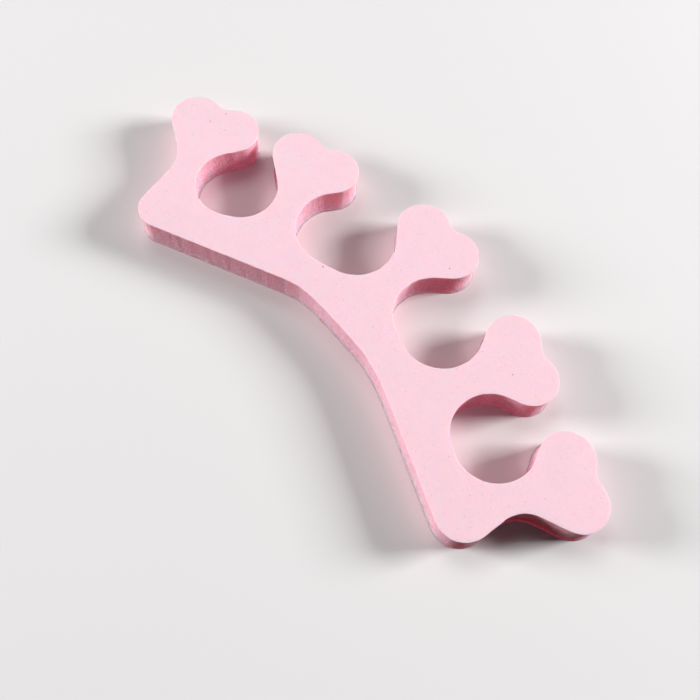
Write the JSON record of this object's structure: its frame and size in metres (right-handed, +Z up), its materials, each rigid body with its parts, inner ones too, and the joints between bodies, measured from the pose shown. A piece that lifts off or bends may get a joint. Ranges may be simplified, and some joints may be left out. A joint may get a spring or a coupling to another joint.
{
  "type": "toe separator",
  "caption": "Flat foam comb for a foot: rounded, notched fingers with a toe gap between each pair, on a bowed back.",
  "frame": {"origin": "middle of the box that holds the sheet, on its underside", "axes": "+X along the length, +Y the way the fingers point, +Z up out of the top face"},
  "size_m": [0.0984, 0.0382, 0.0055],
  "materials": {
    "eva_foam": "matt closed-cell foam, pale pink"
  },
  "bodies": {
    "root": {"toe_separator": "eva_foam"}
  },
  "joints": []
}
